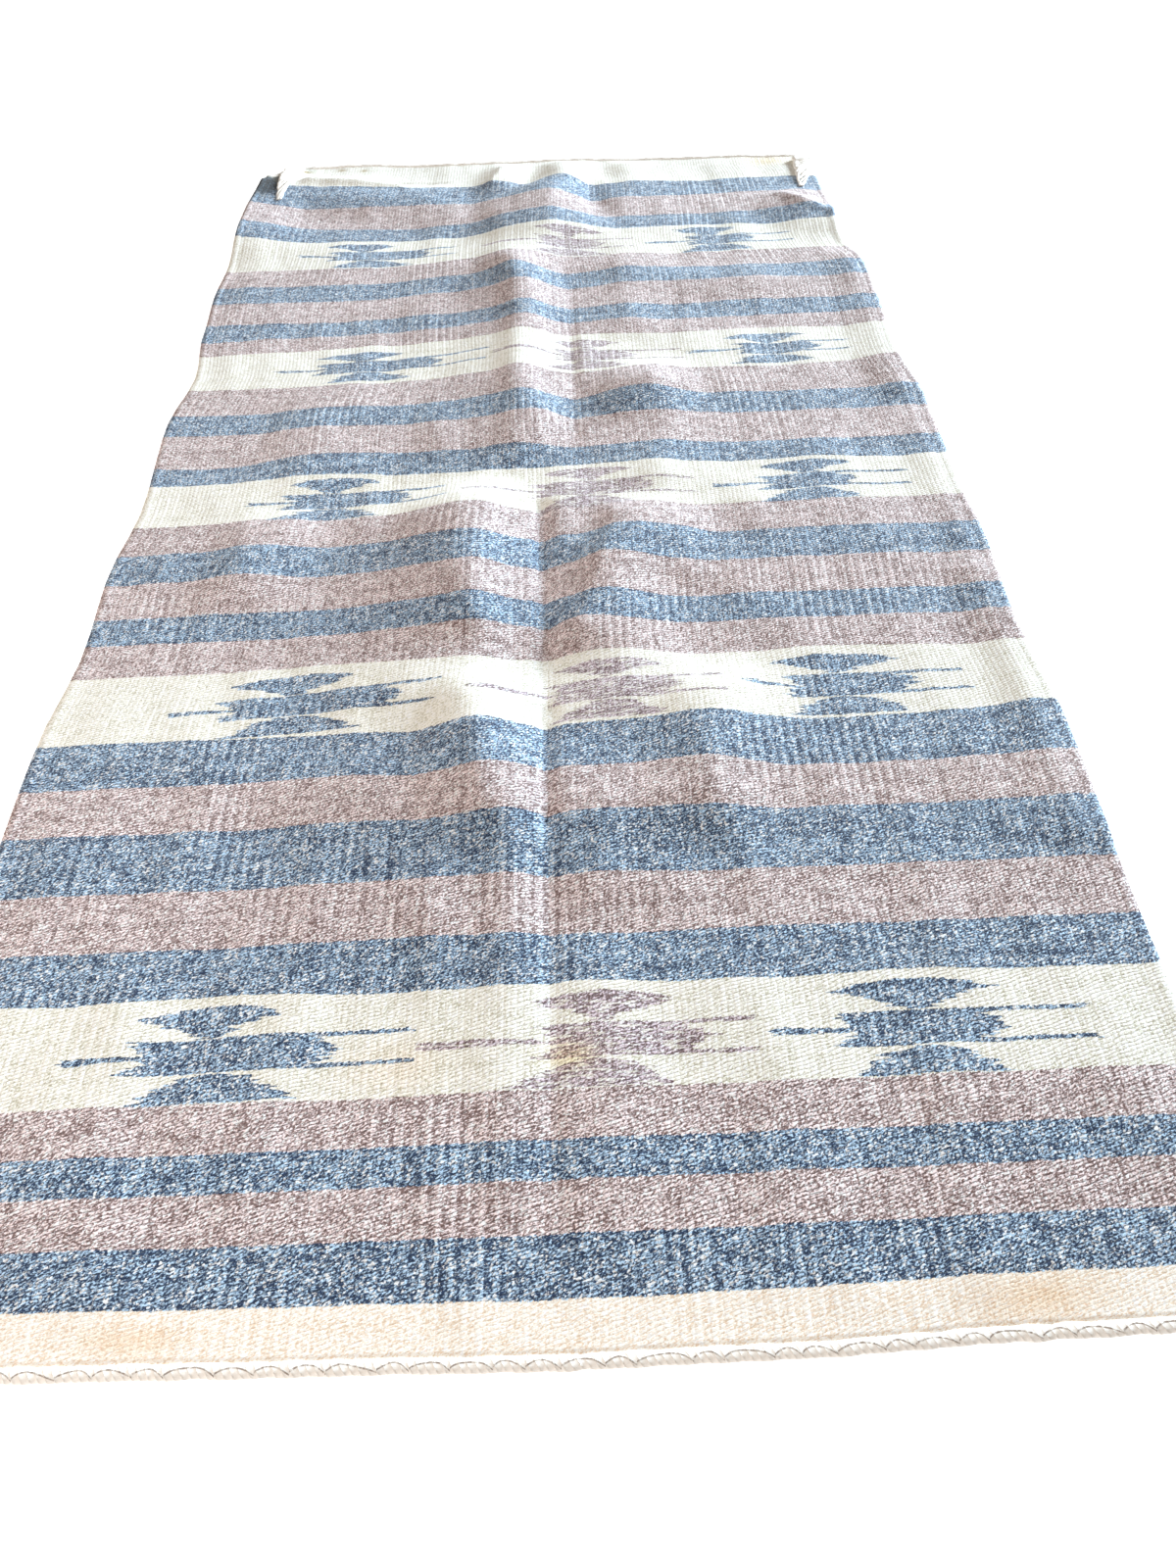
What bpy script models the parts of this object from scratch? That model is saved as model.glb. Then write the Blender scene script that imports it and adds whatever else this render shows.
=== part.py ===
"""A banded serape lying on a floor, with the folds it was left in.

One weft-faced cotton cloth is one solid. A twined edge of warp ends runs along each
short side, and two tails of spare end yarn lie back over the far corners.

Metres, +Z up. X runs across the cloth and Y along it, towards its far end. The origin
is on the floor under the middle of the cloth.
"""
import math
from collections import namedtuple

import bmesh
import bpy
from mathutils import Vector
from mathutils.bvhtree import BVHTree

# Driving sizes of the cloth
CLOTH_WIDTH = 0.760
CLOTH_LENGTH = 1.580
CLOTH_THICKNESS = 0.003
GAP = 0.0003

# The twined edge: a flat-bottomed rope whose oblique bumps are its turns
BRAID_DEPTH = 0.0076
BRAID_HEIGHT = 0.0060
BRAID_TURN = 0.0150
BRAID_SWELL = 0.16
BRAID_SIDES = 6
BRAID_RINGS_PER_TURN = 3
BRAID_END_TAPER = 0.010
BRAID_TIP_SHARE = 0.45

# The corner tails: loosely twisted yarn, thinner towards its free end
TAIL_WIDTH = 0.0150
TAIL_HEIGHT = 0.0105
TAIL_TURN = 0.0260
TAIL_SWELL = 0.14
TAIL_SIDES = 8
TAIL_RINGS = 26
TAIL_TIP_SHARE = 0.55

# The cloth's mesh is finer at the middle fold and towards the rumpled far end
COLUMNS = 34
ROWS = 52
MIDDLE_SPACING_SHARE = 0.58
FAR_SPACING_SHARE = 0.62

# How far each selvedge bulges past half the width, down the length of the cloth
Selvedge = namedtuple("Selvedge", "along left right")
SELVEDGES = [
    Selvedge(along=-0.790, left=-0.006, right=-0.004),
    Selvedge(along=-0.560, left=-0.002, right=0.000),
    Selvedge(along=-0.340, left=0.003, right=0.006),
    Selvedge(along=-0.240, left=-0.005, right=0.000),
    Selvedge(along=-0.130, left=0.000, right=0.006),
    Selvedge(along=-0.040, left=-0.007, right=0.004),
    Selvedge(along=0.120, left=0.001, right=0.006),
    Selvedge(along=0.210, left=-0.009, right=-0.003),
    Selvedge(along=0.310, left=0.001, right=0.001),
    Selvedge(along=0.410, left=0.006, right=0.004),
    Selvedge(along=0.510, left=0.002, right=-0.012),
    Selvedge(along=0.610, left=0.000, right=-0.008),
    Selvedge(along=0.700, left=-0.006, right=-0.010),
    Selvedge(along=0.790, left=-0.010, right=-0.016),
]

# How far each end edge is drawn in from half the length, across the cloth
EndEdge = namedtuple("EndEdge", "across near far")
END_EDGES = [
    EndEdge(across=-0.380, near=0.008, far=0.002),
    EndEdge(across=-0.250, near=0.004, far=0.006),
    EndEdge(across=-0.120, near=0.002, far=0.016),
    EndEdge(across=0.000, near=0.000, far=0.015),
    EndEdge(across=0.120, near=0.001, far=0.020),
    EndEdge(across=0.250, near=0.005, far=0.026),
    EndEdge(across=0.380, near=0.007, far=0.029),
]
DRAWN_IN_DEPTH = 0.090

# The long fold down the middle: where its crest runs, how high it stands, and how far
# its two flanks reach. The short right flank ends in a sharp crease.
Crest = namedtuple("Crest", "along across height left_reach right_reach")
MIDDLE_FOLD = [
    Crest(along=-0.640, across=-0.020, height=0.000, left_reach=0.050, right_reach=0.026),
    Crest(along=-0.500, across=-0.022, height=0.005, left_reach=0.060, right_reach=0.028),
    Crest(along=-0.430, across=-0.024, height=0.012, left_reach=0.085, right_reach=0.034),
    Crest(along=-0.390, across=-0.036, height=0.015, left_reach=0.085, right_reach=0.042),
    Crest(along=-0.340, across=-0.052, height=0.016, left_reach=0.075, right_reach=0.056),
    Crest(along=-0.262, across=-0.058, height=0.005, left_reach=0.085, right_reach=0.060),
    Crest(along=-0.190, across=-0.066, height=0.014, left_reach=0.105, right_reach=0.066),
    Crest(along=-0.100, across=-0.080, height=0.017, left_reach=0.085, right_reach=0.080),
    Crest(along=0.000, across=-0.050, height=0.003, left_reach=0.090, right_reach=0.060),
    Crest(along=0.045, across=-0.012, height=0.011, left_reach=0.055, right_reach=0.045),
    Crest(along=0.096, across=-0.006, height=0.016, left_reach=0.055, right_reach=0.044),
    Crest(along=0.140, across=-0.016, height=0.014, left_reach=0.055, right_reach=0.044),
    Crest(along=0.230, across=-0.015, height=0.012, left_reach=0.050, right_reach=0.046),
    Crest(along=0.310, across=-0.015, height=0.013, left_reach=0.046, right_reach=0.046),
    Crest(along=0.388, across=-0.015, height=0.014, left_reach=0.054, right_reach=0.046),
    Crest(along=0.430, across=-0.024, height=0.015, left_reach=0.060, right_reach=0.056),
    Crest(along=0.500, across=-0.018, height=0.011, left_reach=0.110, right_reach=0.070),
    Crest(along=0.550, across=0.005, height=0.017, left_reach=0.120, right_reach=0.120),
    Crest(along=0.600, across=0.005, height=0.018, left_reach=0.130, right_reach=0.090),
    Crest(along=0.655, across=0.012, height=0.018, left_reach=0.110, right_reach=0.070),
    Crest(along=0.710, across=0.032, height=0.017, left_reach=0.062, right_reach=0.046),
    Crest(along=0.750, across=0.036, height=0.010, left_reach=0.070, right_reach=0.048),
    Crest(along=0.790, across=0.040, height=0.003, left_reach=0.070, right_reach=0.048),
]
CREST_SHARPNESS = 1.45

# The smaller folds: a straight crest from one place to another and how far it reaches
Ridge = namedtuple("Ridge", "start_x start_y end_x end_y reach height")
SMALL_FOLDS = [
    Ridge(start_x=-0.262, start_y=-0.155, end_x=-0.246, end_y=-0.088, reach=0.052, height=0.009),
    Ridge(start_x=0.066, start_y=-0.150, end_x=0.098, end_y=-0.094, reach=0.056, height=0.012),
    Ridge(start_x=-0.150, start_y=-0.400, end_x=0.075, end_y=-0.415, reach=0.080, height=0.006),
    Ridge(start_x=0.115, start_y=-0.375, end_x=0.128, end_y=-0.335, reach=0.062, height=0.007),
    Ridge(start_x=0.062, start_y=-0.330, end_x=0.066, end_y=-0.190, reach=0.058, height=0.006),
    Ridge(start_x=0.088, start_y=0.138, end_x=0.112, end_y=0.150, reach=0.050, height=0.010),
    Ridge(start_x=-0.215, start_y=0.025, end_x=-0.215, end_y=0.118, reach=0.075, height=0.006),
    Ridge(start_x=0.170, start_y=0.395, end_x=0.260, end_y=0.385, reach=0.070, height=0.005),
    Ridge(start_x=-0.385, start_y=0.575, end_x=-0.380, end_y=0.700, reach=0.112, height=0.020),
    Ridge(start_x=-0.340, start_y=0.690, end_x=-0.190, end_y=0.660, reach=0.085, height=0.012),
    Ridge(start_x=-0.320, start_y=0.715, end_x=-0.230, end_y=0.715, reach=0.045, height=0.009),
    Ridge(start_x=-0.048, start_y=0.560, end_x=-0.052, end_y=0.650, reach=0.050, height=0.009),
    Ridge(start_x=-0.055, start_y=0.692, end_x=-0.048, end_y=0.738, reach=0.046, height=0.011),
    Ridge(start_x=0.318, start_y=0.605, end_x=0.368, end_y=0.540, reach=0.062, height=0.009),
    Ridge(start_x=0.118, start_y=0.745, end_x=0.128, end_y=0.766, reach=0.036, height=0.006),
]

# Where each corner tail lies: its root at the end edge, and its tip on the cloth
Tail = namedtuple("Tail", "name root_x root_y tip_x tip_y")
CORNER_TAILS = [
    Tail(name="corner_tail_far_left", root_x=-0.345, root_y=0.796, tip_x=-0.341, tip_y=0.648),
    Tail(name="corner_tail_far_right", root_x=0.350, root_y=0.768, tip_x=0.333, tip_y=0.664),
]

# The colour and roughness of each yarn
Yarn = namedtuple("Yarn", "name colour roughness")
CLOTH_YARN = Yarn(name="banded cotton weft", colour=(0.42, 0.44, 0.48, 1), roughness=0.9)
CREAM_YARN = Yarn(name="cream cotton", colour=(0.83, 0.78, 0.66, 1), roughness=0.88)


def clear_scene():
    for old_object in list(bpy.data.objects):
        bpy.data.objects.remove(old_object, do_unlink=True)


def yarn_material(yarn):
    material = bpy.data.materials.new(yarn.name)
    material.use_nodes = True
    shader = material.node_tree.nodes["Principled BSDF"]
    shader.inputs["Base Color"].default_value = yarn.colour
    shader.inputs["Roughness"].default_value = yarn.roughness
    shader.inputs["Metallic"].default_value = 0.0
    return material


def smooth_share(share):
    """A share from 0 to 1 that starts and stops softly."""
    kept = min(max(share, 0.0), 1.0)
    return kept * kept * (3 - 2 * kept)


def eased(table, place, column):
    """One column of a table at a place, eased from row to row. Places come first."""
    if place <= table[0][0]:
        return getattr(table[0], column)
    for before, after in zip(table, table[1:]):
        if place <= after[0]:
            ease = smooth_share((place - before[0]) / (after[0] - before[0]))
            return getattr(before, column) * (1 - ease) + getattr(after, column) * ease
    return getattr(table[-1], column)


def hump(distance, reach):
    """A soft fold's section: 1 at its crest, falling to 0 where it reaches the floor."""
    share = min(abs(distance) / reach, 1.0)
    return (1 + math.cos(math.pi * share)) / 2


def middle_fold_height(x, y):
    off_crest = x - eased(MIDDLE_FOLD, y, "across")
    side = "left_reach" if off_crest < 0 else "right_reach"
    section = hump(off_crest, eased(MIDDLE_FOLD, y, side)) ** CREST_SHARPNESS
    return eased(MIDDLE_FOLD, y, "height") * section


def ridge_height(ridge, x, y):
    start = Vector((ridge.start_x, ridge.start_y))
    run = Vector((ridge.end_x, ridge.end_y)) - start
    share = (Vector((x, y)) - start).dot(run) / run.length_squared
    nearest = start + run * min(max(share, 0.0), 1.0)
    return ridge.height * hump((Vector((x, y)) - nearest).length, ridge.reach)


def fold_height(x, y):
    """How far the underside is off the floor. Folds that meet blend into one."""
    heights = [ridge_height(ridge, x, y) for ridge in SMALL_FOLDS]
    heights.append(middle_fold_height(x, y))
    return math.sqrt(sum(height * height for height in heights))


def fold_steepness(x, y, step=0.004):
    """How much longer the slanted cloth is than its shadow on the floor."""
    slope_x = (fold_height(x + step, y) - fold_height(x - step, y)) / (2 * step)
    slope_y = (fold_height(x, y + step) - fold_height(x, y - step)) / (2 * step)
    return math.sqrt(1 + slope_x * slope_x + slope_y * slope_y)


def edge_across(y, side):
    """The selvedge's place, side -1 on the left and 1 on the right."""
    column = "left" if side < 0 else "right"
    return side * (CLOTH_WIDTH / 2 + eased(SELVEDGES, y, column))


def drawn_in(x, y):
    """How far a place near an end edge moves towards the middle of the cloth."""
    column = "near" if y < 0 else "far"
    from_end = CLOTH_LENGTH / 2 - abs(y)
    pull = eased(END_EDGES, x, column) * smooth_share(1 - from_end / DRAWN_IN_DEPTH)
    return -math.copysign(pull, y)


def cloth_place(across, along):
    """A point of the underside from shares of the cloth, both from -1 to 1."""
    eased_across = MIDDLE_SPACING_SHARE * across + (1 - MIDDLE_SPACING_SHARE) * across ** 3
    far_bend = (1 - FAR_SPACING_SHARE) / 2 * (1 - along * along)
    y = CLOTH_LENGTH / 2 * (along + far_bend)
    left = edge_across(y, -1)
    right = edge_across(y, 1)
    x = left + (right - left) * (eased_across + 1) / 2
    y += drawn_in(x, y)
    return Vector((x, y, fold_height(x, y)))


def end_rim(end):
    """The underside's points along one end of the cloth, end -1 near and 1 far."""
    return [cloth_place(2 * column / COLUMNS - 1, end) for column in range(COLUMNS + 1)]


def rim_point(rim, x):
    """The point of a rim straight between its neighbours at x."""
    for before, after in zip(rim, rim[1:]):
        if x <= after.x:
            return before.lerp(after, (x - before.x) / (after.x - before.x))
    return rim[-1]


def add_object(name, body, material):
    mesh = bpy.data.meshes.new(name)
    body.to_mesh(mesh)
    body.free()
    mesh.materials.append(material)
    mesh.shade_smooth()
    mesh.set_sharp_from_angle(angle=math.radians(50))
    new_object = bpy.data.objects.new(name, mesh)
    bpy.context.collection.objects.link(new_object)
    return new_object


def make_cloth(material):
    """The underside is laid over its folds, then extruded up to the thickness."""
    body = bmesh.new()
    bmesh.ops.create_grid(body, x_segments=COLUMNS, y_segments=ROWS, size=1.0)
    for vertex in body.verts:
        vertex.co = cloth_place(vertex.co.x, vertex.co.y)
    raised = bmesh.ops.extrude_face_region(body, geom=list(body.faces))
    for vertex in raised["geom"]:
        if isinstance(vertex, bmesh.types.BMVert):
            steepness = fold_steepness(vertex.co.x, vertex.co.y)
            vertex.co.z += CLOTH_THICKNESS * steepness
    bmesh.ops.recalc_face_normals(body, faces=list(body.faces))
    return add_object("cloth", body, material)


def skin_rings(rings):
    """A closed body through rings of points, with a face over each end."""
    body = bmesh.new()
    loops = []
    for ring in rings:
        loops.append([body.verts.new(point) for point in ring])
    sides = len(rings[0])
    for before, after in zip(loops, loops[1:]):
        for index in range(sides):
            beside = (index + 1) % sides
            body.faces.new((before[index], before[beside], after[beside], after[index]))
    body.faces.new(loops[0])
    body.faces.new(loops[-1])
    bmesh.ops.recalc_face_normals(body, faces=list(body.faces))
    return body


def yarn_section(sides, width, height, swell, phase):
    """A flat-bottomed section whose upper points swell and shrink with the twist."""
    points = []
    for index in range(sides):
        angle = 2 * math.pi * (index + 0.5) / sides - math.pi / 2
        below = math.sin(angle) < -0.5
        size = 1 if below else 1 + swell * math.cos(phase + angle)
        sideways = width / 2 * size * math.cos(angle)
        upwards = 0 if below else height / 2 * (1 + size * math.sin(angle))
        points.append((sideways, upwards))
    return points


def make_end_braid(name, end, material):
    """The twined edge against one end of the cloth, end -1 near and 1 far."""
    rim = end_rim(end)
    off_rim = end * (2 * GAP + BRAID_DEPTH / 2 * (1 + BRAID_SWELL))
    left = rim[0].x
    right = rim[-1].x
    ring_count = round((right - left) / BRAID_TURN * BRAID_RINGS_PER_TURN)
    rings = []
    for step in range(ring_count + 1):
        x = left + (right - left) * step / ring_count
        from_tip = min(x - left, right - x)
        fullness = math.sin(math.pi / 2 * min(from_tip / BRAID_END_TAPER, 1))
        size = BRAID_TIP_SHARE + (1 - BRAID_TIP_SHARE) * fullness
        phase = 2 * math.pi * x / BRAID_TURN
        section = yarn_section(BRAID_SIDES, BRAID_DEPTH * size, BRAID_HEIGHT * size,
                               BRAID_SWELL, phase)
        seat = rim_point(rim, x)
        rings.append([seat + Vector((0, off_rim + across, up)) for across, up in section])
    return add_object(name, skin_rings(rings), material)


def highest_below(trees, x, y, reach):
    """The top of what lies under a small square at x, y."""
    highest = 0.0
    for beside_x in (-reach, -reach / 2, 0, reach / 2, reach):
        for beside_y in (-reach / 2, 0, reach / 2):
            for tree in trees:
                above = Vector((x + beside_x, y + beside_y, 1))
                hit = tree.ray_cast(above, Vector((0, 0, -1)))[0]
                if hit is not None:
                    highest = max(highest, hit.z)
    return highest


def make_corner_tail(tail, carriers, material):
    """A twisted tail that lies over the end braid and back along the cloth."""
    trees = [BVHTree.FromObject(carrier, bpy.context.evaluated_depsgraph_get())
             for carrier in carriers]
    root = Vector((tail.root_x, tail.root_y, 0))
    run = Vector((tail.tip_x, tail.tip_y, 0)) - root
    beside = Vector((-run.y, run.x, 0)).normalized()
    rings = []
    for step in range(TAIL_RINGS + 1):
        share = step / TAIL_RINGS
        place = root + run * share
        tip_size = 1 - (1 - TAIL_TIP_SHARE) * share ** 3
        phase = 2 * math.pi * run.length * share / TAIL_TURN
        section = yarn_section(TAIL_SIDES, TAIL_WIDTH * tip_size, TAIL_HEIGHT * tip_size,
                               TAIL_SWELL, phase)
        floor = highest_below(trees, place.x, place.y, TAIL_WIDTH / 2) + GAP
        rings.append([place + beside * across + Vector((0, 0, floor + up))
                      for across, up in section])
    return add_object(tail.name, skin_rings(rings), material)


clear_scene()
cloth_material = yarn_material(CLOTH_YARN)
cream_material = yarn_material(CREAM_YARN)
cloth = make_cloth(cloth_material)
make_end_braid("end_braid_near", -1, cream_material)
far_braid = make_end_braid("end_braid_far", 1, cream_material)
bpy.context.view_layer.update()
for corner_tail in CORNER_TAILS:
    make_corner_tail(corner_tail, (cloth, far_braid), cream_material)
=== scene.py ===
"""The looks of a banded cotton serape that lies on a floor in the folds it was left in.

One woven sheet, the twined edges at its two ends and two corner tails, in metres, in the
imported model's frame: X across the cloth, Y along it towards its far end, Z up.
"""
import math
from collections import namedtuple

import bpy
import numpy as np
from mathutils import Matrix, Vector, noise
from mathutils.bvhtree import BVHTree


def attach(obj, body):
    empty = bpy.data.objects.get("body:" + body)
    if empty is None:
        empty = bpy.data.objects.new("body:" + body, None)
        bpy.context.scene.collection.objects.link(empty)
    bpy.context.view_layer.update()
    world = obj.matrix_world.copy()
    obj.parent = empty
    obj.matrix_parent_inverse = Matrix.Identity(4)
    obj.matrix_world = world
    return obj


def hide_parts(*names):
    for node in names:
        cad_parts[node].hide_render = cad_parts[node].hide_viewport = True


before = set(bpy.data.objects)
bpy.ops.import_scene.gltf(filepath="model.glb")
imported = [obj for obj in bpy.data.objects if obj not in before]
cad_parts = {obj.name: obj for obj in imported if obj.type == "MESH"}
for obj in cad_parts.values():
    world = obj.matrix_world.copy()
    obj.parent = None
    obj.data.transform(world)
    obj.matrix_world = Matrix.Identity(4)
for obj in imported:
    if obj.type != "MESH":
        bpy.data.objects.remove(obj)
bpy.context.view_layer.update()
scene = bpy.context.scene

# The view: from above the near end, at about knee height, looking down along the cloth,
# with the camera turned a little about its own line of sight.
VIEW_PLACE = Vector((0.030, -0.9875, 0.628))
VIEW_BELOW_HORIZON = math.radians(46.97)
VIEW_ROLL = math.radians(2.37)
LENS_MM = 27.45

view = bpy.data.objects.new("view", bpy.data.cameras.new("view"))
view.data.lens = LENS_MM
view.matrix_world = (Matrix.Translation(VIEW_PLACE)
                     @ Matrix.Rotation(math.pi / 2 - VIEW_BELOW_HORIZON, 4, "X")
                     @ Matrix.Rotation(-VIEW_ROLL, 4, "Z"))
scene.collection.objects.link(view)
scene.camera = view

# The floor and the light: a plain white floor, a broad cool light that comes in low from the
# far right, as from a window, a weaker warm one from the near left, and a soft warm light
# from all round.
FLOOR_REACH = 8.0
FLOOR_DROP = 0.0004
FLOOR_COLOUR = (0.93, 0.93, 0.93, 1)
FLOOR_GLOW = 0.8
ROOM_COLOUR = (1.0, 0.93, 0.85, 1)
ROOM_STRENGTH = 0.26
WINDOW_COLOUR = (0.81, 0.93, 1.0)
WINDOW_STRENGTH = 740.0
WINDOW_SIZE = 1.4
WINDOW_DISTANCE = 5.2
WINDOW_HEIGHT = math.radians(13)
WINDOW_FROM = math.radians(40)
LAMP_COLOUR = (1.0, 0.88, 0.78)
LAMP_PLACE = Vector((-1.8, -1.3, 1.4))
LAMP_SIZE = 1.0
LAMP_STRENGTH = 41.0
LIGHTS_AIM = Vector((0, 0, 0))

floor_corners = [(-FLOOR_REACH, -FLOOR_REACH, -FLOOR_DROP), (FLOOR_REACH, -FLOOR_REACH, -FLOOR_DROP),
                 (FLOOR_REACH, FLOOR_REACH, -FLOOR_DROP), (-FLOOR_REACH, FLOOR_REACH, -FLOOR_DROP)]
floor_mesh = bpy.data.meshes.new("floor")
floor_mesh.from_pydata(floor_corners, [], [(0, 1, 2, 3)])
floor_paint = bpy.data.materials.new("pale floor")
floor_paint.use_nodes = True
floor_shader = floor_paint.node_tree.nodes["Principled BSDF"]
floor_shader.inputs["Base Color"].default_value = FLOOR_COLOUR
floor_shader.inputs["Roughness"].default_value = 1.0
floor_shader.inputs["Emission Color"].default_value = (1, 1, 1, 1)
floor_shader.inputs["Emission Strength"].default_value = FLOOR_GLOW
floor_mesh.materials.append(floor_paint)
floor = bpy.data.objects.new("floor", floor_mesh)
scene.collection.objects.link(floor)

room = bpy.data.worlds.new("room")
room.use_nodes = True
room.node_tree.nodes["Background"].inputs["Color"].default_value = ROOM_COLOUR
room.node_tree.nodes["Background"].inputs["Strength"].default_value = ROOM_STRENGTH
scene.world = room

towards_window = Vector((math.cos(WINDOW_HEIGHT) * math.cos(WINDOW_FROM),
                         math.cos(WINDOW_HEIGHT) * math.sin(WINDOW_FROM),
                         math.sin(WINDOW_HEIGHT)))


def add_light(name, place, size, strength, colour):
    light = bpy.data.objects.new(name, bpy.data.lights.new(name, "AREA"))
    light.data.energy = strength
    light.data.color = colour
    light.data.size = size
    light.location = place
    light.rotation_euler = (place - LIGHTS_AIM).to_track_quat("Z", "Y").to_euler()
    scene.collection.objects.link(light)


add_light("window", towards_window * WINDOW_DISTANCE, WINDOW_SIZE, WINDOW_STRENGTH, WINDOW_COLOUR)
add_light("lamp", LAMP_PLACE, LAMP_SIZE, LAMP_STRENGTH, LAMP_COLOUR)
scene.view_settings.view_transform = "Standard"
scene.view_settings.exposure = 0.05

# The cloth: one weft-faced cotton sheet, beaten up hard on a stout cotton warp, so that only
# the weft shows. It was folded down the middle before it was laid out, and keeps the folds
# that its solid has, with the sharper creases and the cockling placed here.
CLOTH_WIDTH = 0.760
CLOTH_LENGTH = 1.580
CLOTH_THICKNESS = 0.0022
SOLID_THICKNESS = 0.0030
COLUMNS = 196
ROWS = 396
CLOSER_COLUMNS = 0.55
CLOSER_COLUMNS_AT = -0.020
CLOSER_COLUMNS_REACH = 0.090
DRAWN_IN_DEPTH = 0.090
SEARCH_STEPS = 15
INSIDE_EDGE = 0.9990
SELVEDGES_FROM = -0.985
SELVEDGES_TO = 0.960
SIDE_REACH = 1.2
CORNER_INSET = 0.006
END_SEARCH_FROM = 0.88
END_SEARCH_REACH = 0.2
FAR_SPARE = 0.009
TURNED_CORNER_FROM = -0.346
TURNED_CORNER_REACH = 0.030
TURNED_CORNER_DEPTH = 0.060
SMOOTHED_CELLS = 2.0

cloth_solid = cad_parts["cloth"].data
solid_tree = BVHTree.FromPolygons([vertex.co for vertex in cloth_solid.vertices],
                                  [face.vertices for face in cloth_solid.polygons])


def solid_top(x, y):
    """The height of the cloth's solid at a place, or None beside the cloth."""
    hit = solid_tree.ray_cast(Vector((x, y, 1)), Vector((0, 0, -1)))[0]
    return None if hit is None else hit.z


def edge_from(x, y, step_x, step_y):
    """How many steps away from a place on the cloth its edge is, up to one step."""
    inside = 0.0
    outside = 1.0
    for _ in range(SEARCH_STEPS):
        middle = (inside + outside) / 2
        if solid_top(x + step_x * middle, y + step_y * middle) is None:
            outside = middle
        else:
            inside = middle
    return inside


def smooth_share(share):
    """Shares from 0 to 1 that start and stop softly."""
    kept = np.clip(share, 0, 1)
    return kept * kept * (3 - 2 * kept)


def place_columns():
    """Places across the flat cloth, closer together at the middle fold."""
    guide = np.linspace(-1, 1, COLUMNS + 1) * CLOTH_WIDTH / 2
    off_fold = (guide - CLOSER_COLUMNS_AT) / CLOSER_COLUMNS_REACH
    gaps = 1 - CLOSER_COLUMNS * np.exp(-off_fold ** 2)
    places = np.concatenate([[0], np.cumsum(gaps[:-1])])
    return (places / places[-1] - 0.5) * CLOTH_WIDTH


def outline_of_solid(flat_x, flat_y):
    """The x of both selvedges at each row, and the y of both ends at each column."""
    half_width = CLOTH_WIDTH / 2
    half_length = CLOTH_LENGTH / 2
    rows = np.clip(flat_y, SELVEDGES_FROM * half_length, SELVEDGES_TO * half_length)
    aside = half_width * SIDE_REACH
    left = np.array([-aside * edge_from(0, y, -aside, 0) for y in rows])
    right = np.array([aside * edge_from(0, y, aside, 0) for y in rows])
    columns = np.clip(flat_x, left[0] + CORNER_INSET, right[-1] - CORNER_INSET)
    start = END_SEARCH_FROM * half_length
    reach = END_SEARCH_REACH * half_length
    near = np.array([-start - reach * edge_from(x, -start, 0, -reach) for x in columns])
    far = np.array([start + reach * edge_from(x, start, 0, reach) for x in columns]) + FAR_SPARE
    far -= TURNED_CORNER_DEPTH * smooth_share((TURNED_CORNER_FROM - flat_x) / TURNED_CORNER_REACH)
    return left, right, near, far


def lay_outline(flat_x, flat_y):
    """Where each point of the flat cloth lies on the floor, as arrays of rows and columns."""
    left, right, near, far = outline_of_solid(flat_x, flat_y)
    share = flat_x[None, :] / CLOTH_WIDTH + 0.5
    x = left[:, None] + (right - left)[:, None] * share
    y = np.repeat(flat_y[:, None], len(flat_x), axis=1)
    for end, edge in ((-1, near), (1, far)):
        from_end = CLOTH_LENGTH / 2 - end * flat_y
        pull = smooth_share(1 - from_end / DRAWN_IN_DEPTH)
        y += pull[:, None] * (edge - end * CLOTH_LENGTH / 2)[None, :]
    return x, y


def smoothed(heights, cells):
    """Heights averaged over a few cells each way."""
    reach = int(3 * cells)
    weights = np.exp(-0.5 * (np.arange(-reach, reach + 1) / cells) ** 2)
    weights /= weights.sum()
    for axis in (0, 1):
        padded = np.pad(heights, [(reach, reach) if axis == a else (0, 0) for a in (0, 1)], mode="edge")
        heights = np.apply_along_axis(lambda row: np.convolve(row, weights, "valid"), axis, padded)
    return heights


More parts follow.
